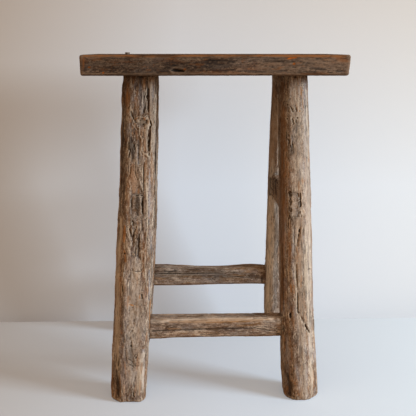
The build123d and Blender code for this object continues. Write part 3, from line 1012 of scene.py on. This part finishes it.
def wood(name, look):
    """Old weathered wood: fibres, streaks, dark lines, grey patina, dirt and painted shade in hollows,
    wear and painted highlight on ridges.
    """
    material = bpy.data.materials.new(name)
    material.use_nodes = True
    tree = material.node_tree
    shader = tree.nodes["Principled BSDF"]
    grain = node(tree, "ShaderNodeAttribute", {}, attribute_name="grain").outputs["Vector"]
    shades = node(tree, "ShaderNodeAttribute", {}, attribute_name="shades")
    parts = node(tree, "ShaderNodeSeparateColor", {"Color": shades.outputs["Color"]}).outputs
    marks = {"dark": parts[0], "pale": parts[1], "amber": parts[2], "grey": shades.outputs["Alpha"]}
    layers = {layer: grain_noise(tree, grain, *settings) for layer, settings in wood_layers.items()}
    lines = thin_lines(tree, layers)
    relief = 0.0
    for layer, share in wood_bump:
        relief = reckon(tree, "ADD", relief, reckon(tree, "MULTIPLY", layers[layer], share))
    relief = reckon(tree, "SUBTRACT", relief, reckon(tree, "MULTIPLY", lines, line_bump))
    settings = {"Height": relief, "Strength": bump_strength, "Distance": bump_depth}
    bump = node(tree, "ShaderNodeBump", settings)
    feed(tree, shader, {
        "Base Color": wood_colour(tree, look, layers, lines, marks),
        "Roughness": span(tree, layers["fibres"], *roughness_span),
        "Specular IOR Level": wood_specular,
        "Normal": bump.outputs[0],
    })
    return material


# Random marks: kind, count, then limits of width, depth and length, all in mm
leg_plan = (
    ("crack", 26, (1.2, 2.6), (1.2, 3.6), (25, 120)),
    ("crack", 34, (1.6, 2.6), (1.5, 3), (0, 0)),
    ("hollow", 14, (5, 11), (0.8, 1.8), (8, 40)),
    ("ridge", 26, (1.5, 3), (-0.9, -0.4), (20, 90)),
    ("amber", 14, (3, 8), (-0.2, 0.4), (8, 60)),
    ("grey", 12, (6, 14), (0, 0), (30, 120)),
    ("stain", 8, (5, 12), (0, 0.4), (10, 60)),
)
seat_plan = (
    ("crack", 20, (1.2, 2.6), (0.8, 2.6), (30, 160)),
    ("crack", 30, (1.6, 2.8), (1.2, 2.4), (0, 0)),
    ("hollow", 14, (6, 16), (0.5, 1.3), (15, 60)),
    ("ridge", 16, (1.6, 3), (-0.5, -0.2), (30, 120)),
    ("amber", 14, (3, 9), (0, 0.3), (8, 60)),
    ("grey", 12, (8, 20), (0, 0), (30, 120)),
    ("stain", 16, (6, 20), (0, 0.3), (10, 90)),
)
stretcher_plan = (
    ("crack", 12, (1.0, 2.0), (0.8, 2.2), (25, 110)),
    ("crack", 12, (1.5, 2.4), (1, 2), (0, 0)),
    ("hollow", 6, (5, 9), (0.5, 1.2), (10, 30)),
    ("ridge", 10, (1.4, 2.6), (-0.6, -0.3), (20, 90)),
    ("amber", 6, (3, 6), (0, 0.3), (8, 50)),
    ("grey", 6, (5, 10), (0, 0), (30, 90)),
    ("stain", 6, (4, 9), (0, 0.3), (10, 50)),
)

# Small marks that lie all over, in the photographed faces too
leg_fine_plan = (
    ("pit", 130, (1.2, 2), (0.3, 0.9), (0, 9)),
    ("pit", 50, (0.9, 1.5), (0.3, 0.8), (15, 50)),
    ("pale", 110, (1.6, 3), (-0.3, 0), (0, 9)),
    ("warmed", 70, (3, 6), (0, 0), (3, 25)),
    ("greyed", 50, (3, 7), (0, 0), (5, 40)),
    ("shade", 50, (4, 9), (0, 0.3), (3, 25)),
)
seat_fine_plan = (
    ("pit", 130, (1.2, 2.2), (0.3, 0.9), (0, 12)),
    ("pit", 60, (0.9, 1.5), (0.3, 0.7), (15, 70)),
    ("pale", 150, (1.5, 2.8), (-0.3, 0), (0, 10)),
    ("warmed", 30, (3, 7), (0, 0), (5, 40)),
    ("shade", 60, (4, 10), (0, 0.2), (5, 40)),
)
stretcher_fine_plan = (
    ("pit", 60, (1.1, 1.9), (0.3, 0.7), (0, 9)),
    ("pale", 50, (1.5, 2.6), (-0.2, 0), (0, 9)),
    ("warmed", 30, (3, 6), (0, 0), (4, 25)),
    ("shade", 30, (3, 7), (0, 0.2), (3, 20)),
)

# The photograph's marks on each piece, with a seed for its patches
photo_marks = {
    "seat": seat_marks + patch_marks(seat_patches, 1),
    "leg_front_left": front_left_marks + patch_marks(front_left_patches, 2),
    "leg_front_right": front_right_marks + patch_marks(front_right_patches, 3),
    "leg_rear_left": rear_left_marks,
    "leg_rear_right": rear_right_marks + patch_marks(rear_right_patches, 4),
    "stretcher_left": left_tenon_marks,
    "stretcher_right": right_tenon_marks,
    "stretcher_front": front_stretcher_marks + patch_marks(front_stretcher_patches, 5),
    "stretcher_rear": rear_stretcher_marks + patch_marks(rear_stretcher_patches, 6),
}

# How each kind of piece is made: its mesh's cell, the rounds of smoothing that wear its corners,
# a wood's name, its seeded marks and its small ones
seat_make = (1.45 * mm, 2, "seat_wood", seat_plan, seat_fine_plan)
leg_make = (1.13 * mm, 5, "leg_wood", leg_plan, leg_fine_plan)
stretcher_make = (0.8 * mm, 5, "stretcher_wood", stretcher_plan, stretcher_fine_plan)
wedge_make = (0.5 * mm, 2, "wedge_wood", (), ())


def dress_all():
    """Every piece of the stool in its own wood, with seeds in the order of the names."""
    leg_wood = wood("leg_wood", leg_look)
    painted_light_wood = wood("painted_light_leg_wood", painted_light_look)
    seat_wood = wood("seat_wood", seat_look)
    stretcher_wood = wood("stretcher_wood", stretcher_look)
    wedge_wood = wood("wedge_wood", leg_look)
    for index, name in enumerate(sorted(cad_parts)):
        seed = seed_step * (index + 1)
        marks = photo_marks.get(name, ())
        if name == "seat":
            dress(name, 0, seat_relief, seed, seat_wood, marks, *seat_make)
        elif name.startswith("leg"):
            relief = left_leg_relief if name.endswith("left") else right_leg_relief
            # The rear right leg wears the paler copy: painted light
            paint = painted_light_wood if name == "leg_rear_right" else leg_wood
            dress(name, 2, relief, seed, paint, marks, *leg_make)
        elif name.startswith("wedge"):
            dress(name, 2, wedge_relief, seed, wedge_wood, marks, *wedge_make)
        else:
            axis = 0 if name in ("stretcher_front", "stretcher_rear") else 1
            dress(name, axis, stretcher_relief, seed, stretcher_wood, marks, *stretcher_make)


dress_all()

# Stage: a pale board that ends a little behind the stool, a floor below it and a pale wall further back
board_gap = 9 * mm
board_height = 26 * mm
wall_gap = 62 * mm
stage_reach = 3.0
wall_height = 2.2
board_end = cad_high.y + board_gap
wall_place = cad_high.y + wall_gap
# Paint of floor and wall, darker and warmer to the left: partly the backdrop's colour, partly painted
# shade where the window light falls off
floor_colours = ((0.0, (198, 194, 192)), (0.5, (222, 229, 240)), (1.0, (232, 244, 255)))
wall_colours = ((0.0, (202, 196, 192)), (0.42, (236, 242, 252)), (1.0, (235, 239, 244)))
wall_top_tint = (231, 220, 209)
wall_tint_step = (0.25, 0.62)
bounce_colour = (176, 150, 122)
stage_sides = (-0.40, 0.42)
plain_share = 0.25
paint_roughness = 0.9
paint_specular = 0.1


def strip(name, rows, material):
    """A surface of the stage, drawn out along X from a line of places seen from its side."""
    corners = [(side * stage_reach, back, up) for back, up in rows for side in (-1, 1)]
    faces = [(2 * row, 2 * row + 1, 2 * row + 3, 2 * row + 2) for row in range(len(rows) - 1)]
    mesh = bpy.data.meshes.new(name)
    mesh.from_pydata(corners, [], faces)
    mesh.materials.append(material)
    add_object(name, mesh)


def stage_paint(name, colours, one_sided):
    """Matt paint that runs from warm and darker at the left to cool at the right, partly painted shade
    where the window light falls off.
    """
    material = bpy.data.materials.new(name)
    material.use_nodes = True
    tree = material.node_tree
    shader = tree.nodes["Principled BSDF"]
    place = node(tree, "ShaderNodeNewGeometry", {}).outputs
    parts = node(tree, "ShaderNodeSeparateXYZ", {"Vector": place["Position"]}).outputs
    paint = ramp(tree, span(tree, parts["X"], *stage_sides), colours)
    tinted = span(tree, parts["Z"], *wall_tint_step)
    paint = mixed(tree, tinted, paint, colour(wall_top_tint), "MULTIPLY")
    seen = node(tree, "ShaderNodeLightPath", {}).outputs["Is Camera Ray"]
    feed(tree, shader, {
        "Base Color": mixed(tree, seen, colour(bounce_colour), paint),
        "Roughness": paint_roughness,
        "Specular IOR Level": paint_specular,
    })
    plain = node(tree, "ShaderNodeEmission", {"Color": paint}).outputs[0]
    shown = mixed_shader(tree, reckon(tree, "MULTIPLY", seen, plain_share), shader.outputs[0], plain)
    if one_sided:
        clear = node(tree, "ShaderNodeBsdfTransparent", {}).outputs[0]
        shown = mixed_shader(tree, place["Backfacing"], shown, clear)
    tree.links.new(shown, tree.nodes["Material Output"].inputs["Surface"])
    return material


def make_stage():
    """The board with the floor behind it, and the wall, which shows only from the front."""
    board = [(-stage_reach, 0), (board_end, 0), (board_end, -board_height), (stage_reach, -board_height)]
    strip("floor", board, stage_paint("floor_paint", floor_colours, False))
    wall = [(wall_place, -board_height), (wall_place, wall_height)]
    strip("wall", wall, stage_paint("wall_paint", wall_colours, True))


make_stage()

# Lights: a wide soft window at the right front, and plain light from all round
window_place = Vector((3.5, -1.35, 1.24))
window_aim = Vector((0, 0, 0.3))
window_size = (1.1, 1.1)
window_power = 211
window_colour = (0.69, 0.86, 1.0)
room_level = 0.65
room_colour = (1.0, 0.78, 0.56, 1)
sky_colour = (226, 226, 228)


def light_stage():
    """The window and the room's own light."""
    data = bpy.data.lights.new("window", "AREA")
    data.shape = "RECTANGLE"
    data.size, data.size_y = window_size
    data.energy = window_power
    data.color = window_colour
    window = add_object("window", data)
    window.location = window_place
    window.rotation_euler = (window_aim - window_place).to_track_quat("-Z", "Y").to_euler()
    world = bpy.data.worlds.new("room")
    world.use_nodes = True
    tree = world.node_tree
    lit = tree.nodes["Background"]
    feed(tree, lit, {"Color": room_colour, "Strength": room_level})
    pale = node(tree, "ShaderNodeBackground", {"Color": colour(sky_colour), "Strength": 1.0})
    path = node(tree, "ShaderNodeLightPath", {}).outputs
    seen = reckon(tree, "MAXIMUM", path["Is Camera Ray"], path["Is Glossy Ray"])
    seen = reckon(tree, "MAXIMUM", seen, path["Is Transmission Ray"])
    shown = mixed_shader(tree, seen, lit.outputs[0], pale.outputs[0])
    tree.links.new(shown, tree.nodes["World Output"].inputs["Surface"])
    bpy.context.scene.world = world


light_stage()


def place_camera():
    """The photograph's view."""
    data = bpy.data.cameras.new("camera")
    data.sensor_width = sensor_width
    data.lens = focal_pixels / photo_pixels * sensor_width
    camera = add_object("camera", data)
    camera.location = camera_place
    camera.rotation_euler = camera_turn
    bpy.context.scene.camera = camera


place_camera()
bpy.context.scene.view_settings.view_transform = "Standard"
